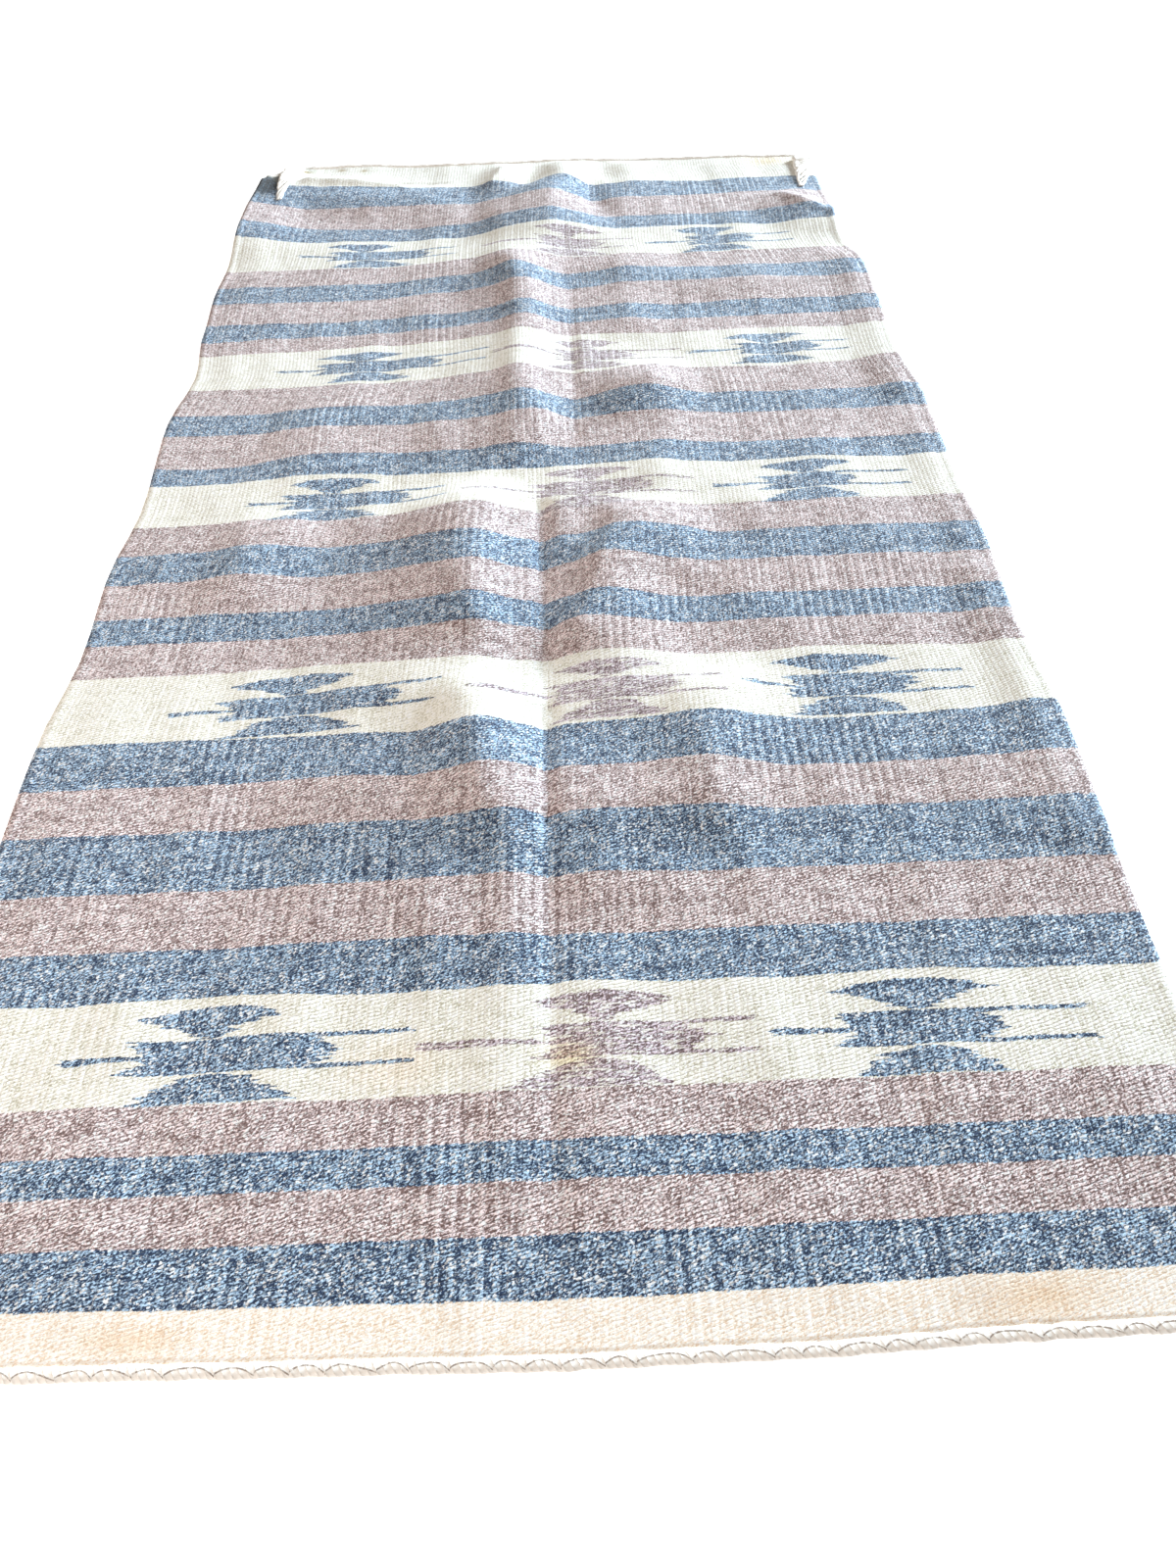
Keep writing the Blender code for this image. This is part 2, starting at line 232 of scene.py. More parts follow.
# Creases and ridges too fine for the solid: a crest from one place to another, how far it
# reaches to its left and right, how high it stands, or how deep it is pressed where that is
# negative, and how round it is, from 1 for a pressed crease to 2 for a soft swell
Crease = namedtuple("Crease", "start_x start_y end_x end_y left_reach right_reach height roundness")
CREASES = [
    Crease(0.002, -0.745, 0.001, -0.440, 0.012, 0.014, -0.0016, 1.0),
    Crease(0.000, -0.440, -0.001, -0.330, 0.013, 0.018, -0.0054, 1.1),
    Crease(0.000, -0.330, 0.001, -0.230, 0.014, 0.016, -0.0036, 1.1),
    Crease(-0.001, -0.225, -0.003, -0.060, 0.013, 0.022, -0.0062, 1.1),
    Crease(0.000, -0.430, 0.000, -0.320, 0.060, 0.070, 0.0026, 1.8),
    Crease(0.000, -0.220, 0.000, -0.060, 0.070, 0.080, 0.0040, 1.8),
    Crease(0.032, -0.730, 0.034, -0.450, 0.032, 0.032, 0.0012, 1.6),
    Crease(-0.022, -0.700, -0.024, -0.470, 0.030, 0.026, 0.0014, 1.4),
    Crease(-0.044, -0.430, -0.052, -0.330, 0.050, 0.044, 0.0056, 1.4),
    Crease(-0.080, -0.510, -0.085, -0.300, 0.120, 0.056, 0.0068, 1.6),
    Crease(-0.042, -0.300, -0.046, -0.245, 0.040, 0.036, 0.0030, 1.4),
    Crease(-0.062, -0.215, -0.054, -0.065, 0.095, 0.054, 0.0104, 1.5),
    Crease(-0.135, -0.300, -0.140, -0.080, 0.090, 0.060, 0.0040, 1.8),
    Crease(-0.064, 0.060, -0.066, 0.440, 0.120, 0.056, 0.0055, 1.6),
    Crease(-0.032, 0.060, -0.034, 0.440, 0.054, 0.040, 0.0040, 1.4),
    Crease(0.033, 0.060, 0.033, 0.420, 0.022, 0.014, -0.0022, 1.0),
    Crease(0.095, 0.300, 0.098, 0.430, 0.060, 0.060, 0.0052, 1.6),
    Crease(0.112, -0.010, 0.112, 0.170, 0.078, 0.060, 0.0080, 1.6),
    Crease(0.028, -0.235, 0.066, -0.085, 0.032, 0.075, 0.0072, 1.3),
    Crease(0.124, -0.160, 0.128, -0.090, 0.034, 0.032, 0.0040, 1.5),
    Crease(0.120, -0.420, 0.130, -0.320, 0.060, 0.062, 0.0070, 1.6),
    Crease(0.036, -0.490, 0.042, -0.430, 0.034, 0.075, 0.0046, 1.6),
    Crease(-0.112, 0.600, -0.110, 0.680, 0.090, 0.044, 0.0034, 1.6),
    Crease(0.116, 0.630, 0.118, 0.690, 0.046, 0.070, 0.0042, 1.6),
    Crease(0.070, 0.630, 0.068, 0.690, 0.030, 0.024, -0.0040, 1.1),
    Crease(0.310, 0.625, 0.368, 0.560, 0.022, 0.022, 0.0036, 1.2),
    Crease(-0.310, 0.712, -0.190, 0.698, 0.020, 0.020, 0.0048, 1.3),
    Crease(-0.335, 0.735, -0.130, 0.712, 0.009, 0.009, -0.0022, 1.2),
    Crease(-0.066, 0.695, -0.050, 0.745, 0.016, 0.016, 0.0024, 1.2),
    Crease(0.367, -0.460, 0.367, -0.180, 0.040, 0.040, 0.0040, 1.5),
    Crease(0.367, -0.130, 0.367, 0.080, 0.038, 0.038, 0.0022, 1.5),
    Crease(0.367, 0.130, 0.367, 0.440, 0.042, 0.042, 0.0050, 1.5),
]
SLACK = 0.0034
SLACK_ACROSS = 13.0
SLACK_ALONG = 4.5
SLACK_LIFT = 0.30
SLACK_SWING = 0.8
SLACK_FREE_FROM = 0.050
COCKLE = 0.0014
COCKLE_ACROSS = 34.0
COCKLE_ALONG = 13.0
SELVEDGE_SWELL = 0.0009
SELVEDGE_WIDTH = 0.0065
SELVEDGE_GROOVE = 0.0009
SELVEDGE_GROOVE_AT = 0.0095
SELVEDGE_GROOVE_WIDTH = 0.002


def lay_heights(x, y, flat_x):
    """The height of the cloth's upper face over its folds."""
    solid = [[solid_top(px * INSIDE_EDGE, py * INSIDE_EDGE) or SOLID_THICKNESS
              for px, py in zip(row_x, row_y)] for row_x, row_y in zip(x, y)]
    heights = smoothed(np.array(solid), SMOOTHED_CELLS) - (SOLID_THICKNESS - CLOTH_THICKNESS)
    from_selvedge = CLOTH_WIDTH / 2 - np.abs(flat_x)
    for row in range(x.shape[0]):
        from_end = CLOTH_LENGTH / 2 - abs(y[row, 0])
        for column in range(x.shape[1]):
            across, along = x[row, column], y[row, column]
            slack = noise.noise(Vector((across * SLACK_ACROSS, along * SLACK_ALONG, 0)))
            cockle = noise.noise(Vector((across * COCKLE_ACROSS, along * COCKLE_ALONG, 3)))
            free = smooth_share(min(from_selvedge[column], from_end) / SLACK_FREE_FROM)
            heights[row, column] += free * (SLACK * (SLACK_LIFT + SLACK_SWING * slack) + COCKLE * cockle)
    for crease in CREASES:
        run_x = crease.end_x - crease.start_x
        run_y = crease.end_y - crease.start_y
        share = ((x - crease.start_x) * run_x + (y - crease.start_y) * run_y) / (run_x ** 2 + run_y ** 2)
        share = np.clip(share, 0, 1)
        off_x = x - crease.start_x - share * run_x
        off_y = y - crease.start_y - share * run_y
        reach_x = np.where(off_x < 0, crease.left_reach, crease.right_reach)
        reach_y = (crease.left_reach + crease.right_reach) / 2
        off = np.minimum(np.hypot(off_x / reach_x, off_y / reach_y), 1)
        heights += crease.height * (1 - off ** crease.roundness) ** 2
    swell = np.sin(np.pi * np.clip(from_selvedge / SELVEDGE_WIDTH, 0, 1))
    groove = np.exp(-((from_selvedge - SELVEDGE_GROOVE_AT) / SELVEDGE_GROOVE_WIDTH) ** 2)
    heights += SELVEDGE_SWELL * swell - SELVEDGE_GROOVE * groove
    return np.maximum(heights, CLOTH_THICKNESS)


# The bands from the near end to the far one, by the yarn of their weft and their width.
# A last cream heading fills what is left of the length.
Band = namedtuple("Band", "yarn width")
BANDS = [
    Band("natural", 0.0273), Band("blue", 0.0336), Band("mauve", 0.0300), Band("blue", 0.0236),
    Band("mauve", 0.0308), Band("cream", 0.0704), Band("blue", 0.0391), Band("mauve", 0.0476),
    Band("blue", 0.0530), Band("mauve", 0.0450), Band("blue", 0.0462), Band("cream", 0.0751),
    Band("mauve", 0.0401), Band("blue", 0.0340), Band("mauve", 0.0471), Band("blue", 0.0421),
    Band("mauve", 0.0430), Band("cream", 0.0686), Band("blue", 0.0345), Band("mauve", 0.0553),
    Band("blue", 0.0390), Band("mauve", 0.0521), Band("cream", 0.0810), Band("mauve", 0.0321),
    Band("blue", 0.0341), Band("mauve", 0.0530), Band("blue", 0.0411), Band("mauve", 0.0430),
    Band("cream", 0.0722), Band("blue", 0.0410), Band("mauve", 0.0600), Band("blue", 0.0520),
]
Stripe = namedtuple("Stripe", "yarn middle width")


def stripes_from_bands():
    """Each band with the place of its middle along the flat cloth."""
    stripes = []
    start = -CLOTH_LENGTH / 2
    for band in BANDS:
        stripes.append(Stripe(band.yarn, start + band.width / 2, band.width))
        start += band.width
    return stripes


STRIPES = stripes_from_bands()
MOTIF_ROWS = [stripe for stripe in STRIPES[1:] if stripe.yarn == "cream"]

# The motifs of each cream band, left, middle and right: a body between two wedges, with one
# thin line at its forked left end and two at its pointed right end. The middle is where the
# wedges meet the body, and the ends of body and lines are measured from it. The body rises
# to the right by its slope, the left line by its own, the wedges lean, and top and base are
# half their widths.
Motif = namedtuple("Motif", "row yarn middle left right left_tip right_tip slope line lean top base")
MOTIFS = [
    Motif(0, "blue", -0.2030, -0.051, 0.075, -0.090, 0.121, 0.02, 0.00, -0.15, 0.042, 0.049),
    Motif(0, "mauve", 0.0300, -0.036, 0.066, -0.110, 0.092, 0.00, 0.00, 0.18, 0.042, 0.050),
    Motif(0, "blue", 0.2225, -0.050, 0.053, -0.089, 0.100, 0.00, 0.00, -0.03, 0.047, 0.045),
    Motif(1, "blue", -0.1960, -0.055, 0.087, -0.093, 0.113, 0.055, 0.00, -0.13, 0.049, 0.053),
    Motif(1, "mauve", 0.0470, -0.046, 0.055, -0.104, 0.090, 0.00, 0.00, 0.00, 0.042, 0.044),
    Motif(1, "blue", 0.2250, -0.045, 0.057, -0.075, 0.095, 0.00, -0.15, -0.04, 0.049, 0.046),
    Motif(2, "blue", -0.2025, -0.046, 0.075, -0.078, 0.105, 0.04, 0.00, 0.05, 0.042, 0.048),
    Motif(2, "mauve", 0.0350, -0.052, 0.062, -0.115, 0.100, 0.00, 0.00, 0.00, 0.040, 0.047),
    Motif(2, "blue", 0.2410, -0.045, 0.044, -0.090, 0.093, 0.03, 0.00, 0.03, 0.042, 0.046),
    Motif(3, "blue", -0.1960, -0.052, 0.084, -0.093, 0.134, 0.03, 0.00, -0.20, 0.046, 0.047),
    Motif(3, "mauve", 0.0460, -0.038, 0.053, -0.100, 0.100, -0.03, 0.00, -0.05, 0.038, 0.044),
    Motif(3, "blue", 0.2430, -0.035, 0.057, -0.087, 0.088, 0.03, 0.00, -0.10, 0.042, 0.045),
    Motif(4, "blue", -0.2120, -0.046, 0.080, -0.086, 0.112, 0.01, -0.15, -0.30, 0.041, 0.050),
    Motif(4, "mauve", 0.0400, -0.040, 0.045, -0.106, 0.080, 0.00, 0.00, 0.00, 0.040, 0.046),
    Motif(4, "blue", 0.2170, -0.030, 0.057, -0.079, 0.101, 0.03, 0.00, -0.15, 0.039, 0.045),
]

# Where the weft wanders from its straight line: a place, how far along the cloth it is
# shifted there, and how far the shift reaches across and along
Wander = namedtuple("Wander", "x y shift reach_across reach_along")
WANDERS = [
    Wander(x=-0.24, y=0.350, shift=-0.008, reach_across=0.16, reach_along=0.290),
    Wander(x=0.15, y=0.640, shift=-0.003, reach_across=0.20, reach_along=0.080),
    Wander(x=0.26, y=0.365, shift=0.006, reach_across=0.14, reach_along=0.050),
    Wander(x=-0.37, y=0.275, shift=-0.010, reach_across=0.06, reach_along=0.030),
    Wander(x=0.37, y=0.190, shift=0.010, reach_across=0.06, reach_along=0.030),
    Wander(x=-0.33, y=0.040, shift=-0.008, reach_across=0.06, reach_along=0.030),
    Wander(x=-0.18, y=0.045, shift=0.006, reach_across=0.06, reach_along=0.030),
    Wander(x=-0.075, y=-0.130, shift=-0.013, reach_across=0.06, reach_along=0.110),
    Wander(x=-0.075, y=-0.375, shift=-0.012, reach_across=0.06, reach_along=0.080),
    Wander(x=0.21, y=-0.340, shift=-0.003, reach_across=0.05, reach_along=0.030),
    Wander(x=0.37, y=-0.335, shift=0.006, reach_across=0.05, reach_along=0.040),
    Wander(x=0.23, y=-0.385, shift=-0.005, reach_across=0.12, reach_along=0.020),
    Wander(x=-0.25, y=0.640, shift=-0.011, reach_across=0.19, reach_along=0.060),
    Wander(x=-0.13, y=0.585, shift=-0.006, reach_across=0.06, reach_along=0.030),
    Wander(x=0.16, y=0.555, shift=0.006, reach_across=0.10, reach_along=0.040),
    Wander(x=0.26, y=0.650, shift=0.006, reach_across=0.10, reach_along=0.030),
    Wander(x=-0.380, y=0.765, shift=0.080, reach_across=0.026, reach_along=0.050),
]
DOME_RISE = 0.0035
DOME_REACH_ACROSS = 0.045
DOME_REACH_ALONG = 0.016
RIPPLE = 0.0007
RIPPLE_SCALE = 32.0


def weave_along(x, y):
    """The place along the straight weave that lies at each point of the flat cloth."""
    shift = np.zeros_like(x)
    for wander in WANDERS:
        off_x = (x - wander.x) / wander.reach_across
        off_y = (y - wander.y) / wander.reach_along
        shift += wander.shift * np.exp(-off_x ** 2 - off_y ** 2)
    for motif in MOTIFS:
        row = MOTIF_ROWS[motif.row]
        off_x = (x - motif.middle) / DOME_REACH_ACROSS
        off_y = (y - row.middle - row.width / 2) / DOME_REACH_ALONG
        shift += DOME_RISE * np.exp(-off_x ** 2 - off_y ** 2)
    for index in np.ndindex(x.shape):
        shift[index] += RIPPLE * noise.noise(Vector((x[index], y[index] * 0.6, 5)) * RIPPLE_SCALE)
    return y - shift


def nearest_motif(x, along):
    """The motif whose share of the cloth holds a place."""
    row = min(range(len(MOTIF_ROWS)), key=lambda index: abs(MOTIF_ROWS[index].middle - along))
    left, middle, right = [motif for motif in MOTIFS if motif.row == row]
    for before, after in ((left, middle), (middle, right)):
        if x < (before.middle + before.right_tip + after.middle + after.left_tip) / 2:
            return before
    return right


def flat_grid():
    """The flat cloth's places across and along, as arrays of rows and columns."""
    flat_x = place_columns()
    flat_y = np.linspace(-1, 1, ROWS + 1) * CLOTH_LENGTH / 2
    return flat_x, flat_y


def grid_faces(rows, columns, first=0):
    """Faces over a grid of points that are numbered row by row."""
    faces = []
    for row in range(rows):
        for column in range(columns):
            corner = first + row * (columns + 1) + column
            faces.append((corner, corner + 1, corner + columns + 2, corner + columns + 1))
    return faces


def rim_of_grid(rows, columns, first=0):
    """The numbers of a grid's outer points, once round against the clock from above."""
    wide = columns + 1
    near = list(range(columns))
    right = [row * wide + columns for row in range(rows)]
    far = [rows * wide + column for column in range(columns, 0, -1)]
    left = [row * wide for row in range(rows, 0, -1)]
    return [first + point for point in near + right + far + left]


def make_cloth_mesh():
    """The upper face, a coarser lower face under it, and the rim between them."""
    flat_x, flat_y = flat_grid()
    x, y = lay_outline(flat_x, flat_y)
    top = lay_heights(x, y, flat_x)
    under = np.maximum(top - CLOTH_THICKNESS, 0)
    upper_points = np.stack([x, y, top], axis=-1).reshape(-1, 3)
    lower_points = np.stack([x, y, under], axis=-1)[::2, ::2].reshape(-1, 3)
    count = len(upper_points)
    upper = grid_faces(ROWS, COLUMNS)
    lower = [face[::-1] for face in grid_faces(ROWS // 2, COLUMNS // 2, count)]
    upper_rim = rim_of_grid(ROWS, COLUMNS)
    lower_rim = rim_of_grid(ROWS // 2, COLUMNS // 2, count)
    rim = []
    for index, below in enumerate(lower_rim):
        below_next = lower_rim[(index + 1) % len(lower_rim)]
        first, second = upper_rim[2 * index], upper_rim[2 * index + 1]
        third = upper_rim[(2 * index + 2) % len(upper_rim)]
        rim.append((below, below_next, third, second, first))
    mesh = bpy.data.meshes.new("cloth_sheet")
    mesh.from_pydata(np.concatenate([upper_points, lower_points]).tolist(), [], upper + lower + rim)
    grid_x, grid_y = np.meshgrid(flat_x, flat_y)
    weave = np.stack([grid_x, weave_along(grid_x, grid_y)], axis=-1)
    weave = np.concatenate([weave.reshape(-1, 2), weave[::2, ::2].reshape(-1, 2)])
    add_weave_maps(mesh, weave, count, len(upper), len(lower))
    add_motif_places(mesh)
    return mesh


WEAVE_MAP = "weave"
BAKE_MAP = "OFBake"
BAKE_MARGIN = 0.010
UPPER_SHARE = 0.60


def add_weave_maps(mesh, weave, upper_count, upper_faces, lower_faces):
    """One map gives places on the straight weave, the other a flat layout for baking."""
    points = np.empty(len(mesh.loops), dtype=np.int32)
    mesh.loops.foreach_get("vertex_index", points)
    weave_map = mesh.uv_layers.new(name=WEAVE_MAP)
    weave_map.data.foreach_set("uv", weave[points].astype(np.float32).ravel())
    spread = weave / (CLOTH_WIDTH, CLOTH_LENGTH) + 0.5
    spread = np.clip(spread, 0, 1)
    upper = BAKE_MARGIN + spread * (UPPER_SHARE - 2 * BAKE_MARGIN, 1 - 2 * BAKE_MARGIN)
    lower = BAKE_MARGIN + spread * (1 - UPPER_SHARE - 2 * BAKE_MARGIN, 1 - 2 * BAKE_MARGIN)
    lower = lower + (UPPER_SHARE, 0)
    outward = upper + (spread - 0.5) * BAKE_MARGIN
    is_upper = points < upper_count
    upper_loops = 4 * upper_faces
    lower_loops = upper_loops + 4 * lower_faces
    bake = np.where(is_upper[:, None], upper[points], outward[points])
    bake[upper_loops:lower_loops] = lower[points[upper_loops:lower_loops]]
    bake_map = mesh.uv_layers.new(name=BAKE_MAP)
    bake_map.data.foreach_set("uv", bake.astype(np.float32).ravel())


def add_motif_places(mesh):
    """Every face carries the places of its nearest motif, which the weave reads."""
    maps = np.empty(2 * len(mesh.loops), dtype=np.float32)
    mesh.uv_layers[WEAVE_MAP].data.foreach_get("uv", maps)
    maps = maps.reshape(-1, 2)
    places, bodies, tips, wedges = [], [], [], []
    for face in mesh.polygons:
        x, along = maps[face.loop_start:face.loop_start + face.loop_total].mean(axis=0)
        motif = nearest_motif(x, along)
        row = MOTIF_ROWS[motif.row]
        places.append((motif.middle, row.middle, float(motif.yarn == "blue")))
        bodies.append((motif.left, motif.right, motif.slope))
        tips.append((motif.left_tip, motif.right_tip, motif.line))
        wedges.append((motif.lean, motif.top, motif.base))
    for name, values in (("motif_place", places), ("motif_body", bodies), ("motif_tips", tips),
                         ("motif_wedges", wedges)):
        attribute = mesh.attributes.new(name, "FLOAT_VECTOR", "FACE")
        attribute.data.foreach_set("vector", np.array(values, dtype=np.float32).ravel())


class Finish:
    """A material in the making. Every node but the maths comes from node()."""

    def __init__(self, name, **constants):
        self.material = bpy.data.materials.new(name)
        self.material.use_nodes = True
        self.tree = self.material.node_tree
        self.shader = self.tree.nodes["Principled BSDF"]
        for socket, value in constants.items():
            self.shader.inputs[socket.replace("_", " ").title()].default_value = value

    def feed(self, socket, value):
        if isinstance(value, Reading):
            self.tree.links.new(value.socket, socket)
        else:
            socket.default_value = value

    def node(self, kind, settings, inputs, output=0):
        made = self.tree.nodes.new(kind)
        for name, value in settings.items():
            setattr(made, name, value)
        for place, value in inputs.items():
            self.feed(made.inputs[place], value)
        return Reading(self, made.outputs[output])

    def parts(self, vector):
        """The three numbers of a vector."""
        return [self.node("ShaderNodeSeparateXYZ", {}, {0: vector}, output) for output in range(3)]

    def vector(self, x, y, z=0.0):
        return self.node("ShaderNodeCombineXYZ", {}, {0: x, 1: y, 2: z})

    def mix(self, factor, first, second):
        """A colour between two others."""
        inputs = {0: factor, 6: first, 7: second}
        return self.node("ShaderNodeMix", {"data_type": "RGBA"}, inputs, output=2)

    def multiply(self, factor, first, second):
        """A colour tinted with another."""
        inputs = {0: factor, 6: first, 7: second}
        settings = {"data_type": "RGBA", "blend_type": "MULTIPLY"}
        return self.node("ShaderNodeMix", settings, inputs, output=2)

    def cloud(self, place, detail=2.0, roughness=0.5):
        """Soft noise, mostly between 0.3 and 0.7."""
        inputs = {"Vector": place, "Scale": 1.0, "Detail": detail, "Roughness": roughness}
        return self.node("ShaderNodeTexNoise", {}, inputs)


class Reading:
    """A value that changes over a surface. Arithmetic on it adds Math nodes."""

    def __init__(self, finish, socket):
        self.finish = finish
        self.socket = socket

    def math(self, operation, *others, clamp=False):
        settings = {"operation": operation, "use_clamp": clamp}
        return self.finish.node("ShaderNodeMath", settings, dict(enumerate((self, *others))))

    def __add__(self, other):
        return self.math("ADD", other)

    __radd__ = __add__

    def __mul__(self, other):
        return self.math("MULTIPLY", other)

    __rmul__ = __mul__

    def __sub__(self, other):
        return self.math("SUBTRACT", other)

    def __rsub__(self, other):
        return self * -1 + other

    def __truediv__(self, other):
        return self.math("DIVIDE", other)

    def __pow__(self, other):
        return self.math("POWER", other)

    def __lt__(self, other):
        return self.math("LESS_THAN", other)

    def __gt__(self, other):
        return self.math("GREATER_THAN", other)

    def __abs__(self):
        return self.math("ABSOLUTE")

    def kept(self):
        """Held between 0 and 1."""
        return self.math("ADD", 0.0, clamp=True)

    def ramp(self, start, stop):
        """0 up to start, 1 from stop on, and soft between."""
        inputs = {0: self, 1: start, 2: stop}
        return self.finish.node("ShaderNodeMapRange", {"interpolation_type": "SMOOTHSTEP"}, inputs)


# The weave: ribs of warp, and over each rib the beads of the weft, a float apart from the
# next rib's beads, lying a little aslant
RIB_PITCH = 0.0040
BEAD_PITCH = 0.0027
BEAD_SLANT = -0.55
PICK_SWAY = 1.6
EDGE_JITTER = 0.30
FRAY_ACROSS = 0.030
FRAY_ALONG = 0.0024
MOTIF_RISE = -0.0015
BODY_MIDDLE = -0.0020
BODY_HALF = 0.0116
BODY_NOTCH = 0.014
BODY_POINT = 0.020
WEDGE_FROM = 0.0102
WEDGE_TIPS = 0.0235
WEDGE_TOP = 0.0295
WEDGE_WAIST = 0.0042
WAIST_OF_BLUE = 0.0033
BASE_FROM = -0.0145
BASE_TO = -0.0330
LINE_HALF = 0.0015
LINES_OFF_BODY = 0.0104
BEAD_RELIEF_MM = 0.34
FIBRE_RELIEF_MM = 0.20
RIB_RELIEF_MM = 0.07

# Each yarn is spun from two shades, so that its floats are heathered
Yarn = namedtuple("Yarn", "dark light share")
YARNS = {
    "natural": Yarn(dark=(0.80, 0.66, 0.52, 1), light=(0.99, 0.97, 0.92, 1), share=0.72),
    "cream": Yarn(dark=(0.56, 0.54, 0.43, 1), light=(0.95, 0.95, 0.90, 1), share=0.74),
    "mauve": Yarn(dark=(0.200, 0.125, 0.120, 1), light=(0.98, 0.85, 0.88, 1), share=0.46),
    "blue": Yarn(dark=(0.010, 0.032, 0.092, 1), light=(0.52, 0.74, 0.99, 1), share=0.36),
}
FLECK_COLOUR = (0.95, 0.97, 1.0, 1)
SPECK_COLOUR = (0.80, 0.58, 0.42, 1)
SHADOW_COLOUR = (0.10, 0.09, 0.10, 1)
MOTIF_TINT = (0.80, 0.80, 0.88, 1)

# Stains and painted shade: where they are on the flat cloth, how far they reach, and their tint
StainAndShade = namedtuple("StainAndShade", "x y reach_across reach_along tint cover")
STAINS_AND_SHADE = [
    StainAndShade(x=0.012, y=-0.622, reach_across=0.016, reach_along=0.010, tint=(1.0, 0.84, 0.55, 1), cover=0.7),
    StainAndShade(x=-0.090, y=-0.625, reach_across=0.030, reach_along=0.018, tint=(1.0, 0.88, 0.78, 1), cover=0.6),
    # Painted shade: tan patches in the hollows of the near heading
    StainAndShade(x=0.250, y=-0.776, reach_across=0.030, reach_along=0.012, tint=(0.92, 0.76, 0.60, 1), cover=0.7),
    StainAndShade(x=-0.216, y=-0.778, reach_across=0.026, reach_along=0.008, tint=(0.94, 0.80, 0.66, 1), cover=0.7),
    StainAndShade(x=0.325, y=0.770, reach_across=0.030, reach_along=0.020, tint=(1.0, 0.88, 0.70, 1), cover=0.9),
    # Painted shade: brown marks on the far-left heading, where it lies behind the raised fold
    StainAndShade(x=-0.333, y=0.772, reach_across=0.010, reach_along=0.006, tint=(0.45, 0.33, 0.16, 1), cover=0.9),
    StainAndShade(x=-0.282, y=0.778, reach_across=0.006, reach_along=0.004, tint=(0.50, 0.38, 0.20, 1), cover=0.8),
    StainAndShade(x=-0.250, y=0.774, reach_across=0.005, reach_along=0.004, tint=(0.50, 0.38, 0.20, 1), cover=0.8),
    # Painted shade: the turned-down corner of the far blue band, dark because it lies in shade
    StainAndShade(x=-0.370, y=0.692, reach_across=0.020, reach_along=0.026, tint=(0.09, 0.11, 0.12, 1), cover=1.4),
]


def motif_mask(finish, across, along):
    """1 on the beads of a motif and 0 beside it, and 1 where that motif is blue."""
    numbers = []
    for name in ("motif_place", "motif_body", "motif_tips", "motif_wedges"):
        attribute = finish.node("ShaderNodeAttribute", {"attribute_name": name}, {}, output=1)
        numbers.extend(finish.parts(attribute))
    middle, row, blue, left, right, slope, left_tip, right_tip, line, lean, top, base = numbers
    x = across - middle
    y = along - row - MOTIF_RISE
    x_leant = x - y * lean
    y = y - x * slope
    off_body = y - BODY_MIDDLE
    from_body = abs(off_body)
    notch = (1 - from_body / (BODY_HALF * 0.85)).kept() * BODY_NOTCH
    point = (from_body / BODY_HALF) ** 1.4 * BODY_POINT
    body = (from_body < BODY_HALF) * (x > left + notch) * (x < right - point)
    waist = blue * WAIST_OF_BLUE + WEDGE_WAIST
    rise = ((y - WEDGE_FROM) / (WEDGE_TIPS - WEDGE_FROM)).kept()
    cap = (1 - ((y - WEDGE_TIPS) / (WEDGE_TOP - WEDGE_TIPS)).kept() ** 2) ** 0.5
    upper_half = ((top - waist) * rise ** 1.4 + waist).math("MINIMUM", cap * top)
    upper_wedge = (abs(x_leant) < upper_half) * (y > WEDGE_FROM) * (y < WEDGE_TOP)
    fall = ((y - BASE_FROM) / (BASE_TO - BASE_FROM)).kept()
    lower_half = fall ** 0.62 * (base - waist) + waist
    lower_wedge = (abs(x_leant) < lower_half) * (y < BASE_FROM) * (y > BASE_TO)
    outer = ((left - x) / 0.035).kept()
    from_line = abs(off_body - (x - left) * line)
    left_line = (from_line < outer * 0.0012 + LINE_HALF) * (x > left_tip) * (x < left + BODY_NOTCH)
    off_line = abs(from_body - LINES_OFF_BODY)
    right_lines = (off_line < LINE_HALF) * (x > right - BODY_POINT) * (x < right_tip)
    whole = (body + upper_wedge + lower_wedge + left_line + right_lines).kept()
    return whole, blue


def band_mask(along, yarn):
    """1 on the beads of one yarn's bands."""
    return sum(along.math("COMPARE", stripe.middle, stripe.width / 2)
               for stripe in STRIPES if stripe.yarn == yarn)


